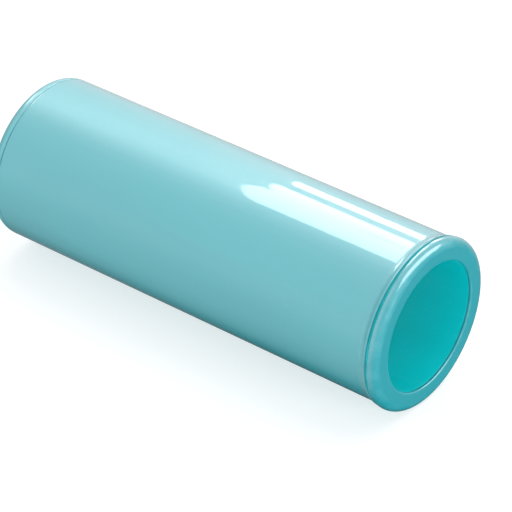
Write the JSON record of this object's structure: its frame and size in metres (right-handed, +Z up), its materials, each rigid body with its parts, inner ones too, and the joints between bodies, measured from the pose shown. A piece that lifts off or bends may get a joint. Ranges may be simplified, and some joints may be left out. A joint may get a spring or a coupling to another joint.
{
  "type": "refillable paint tube",
  "caption": "Rigid round refillable paint tube: gloss shell, screw-in rim ring, inner liner with follower piston, flush screw cap.",
  "frame": {"origin": "on the surface that the tube lies on, under the middle of its length", "axes": "+X along the tube's axis towards the open rim, +Z up"},
  "size_m": [0.113, 0.0412, 0.0412],
  "materials": {
    "shell_plastic": "polished light aqua moulding",
    "rim_plastic": "polished mid aqua moulding",
    "liner_plastic": "deep teal moulding",
    "gasket_rubber": "smooth deep teal elastomer",
    "seal_rubber": "smooth black elastomer",
    "wiper_rubber": "smooth dark teal elastomer",
    "piston_plastic": "satin pale moulding",
    "spring_steel": "plain spring steel",
    "seal_foam": "fine closed foam"
  },
  "bodies": {
    "casing": {"outer_shell": "shell_plastic", "front_end": "shell_plastic"},
    "liner": {"inner_liner": "liner_plastic", "liner_nose_seal": "seal_rubber", "retaining_clip": "spring_steel", "piston_stop_ring": "spring_steel"},
    "rim": {"rim_ring": "rim_plastic", "rim_gasket": "gasket_rubber"},
    "piston": {"follower_piston": "piston_plastic", "front_wiper_seal": "wiper_rubber", "rear_wiper_seal": "wiper_rubber"},
    "cap_disc": {"cap_seal": "seal_foam"},
    "cap": {"screw_cap": "liner_plastic"}
  },
  "joints": [
    {"name": "liner_draw", "type": "slide", "parent": "casing", "child": "liner", "axis": [1, 0, 0], "range_m": [0, 0.008]},
    {"name": "rim_turn", "type": "hinge", "parent": "liner", "child": "rim", "pos_m": [0.0545, 0, 0.0206], "axis": [1, 0, 0], "range_deg": [0, 720]},
    {"name": "piston_push", "type": "slide", "parent": "liner", "child": "piston", "axis": [-1, 0, 0], "range_m": [-0.0039, 0.0557]},
    {"name": "cap_lift", "type": "slide", "parent": "casing", "child": "cap_disc", "axis": [-1, 0, 0], "range_m": [0, 0.014]},
    {"name": "cap_turn", "type": "hinge", "parent": "cap_disc", "child": "cap", "pos_m": [-0.0535, 0, 0.0206], "axis": [-1, 0, 0], "range_deg": [0, 1440]}
  ],
  "couplings": [
    {"joint": "rim_turn", "follows": "liner_draw", "rad_per_m": 1570.8},
    {"joint": "cap_turn", "follows": "cap_lift", "rad_per_m": 1795.2}
  ]
}
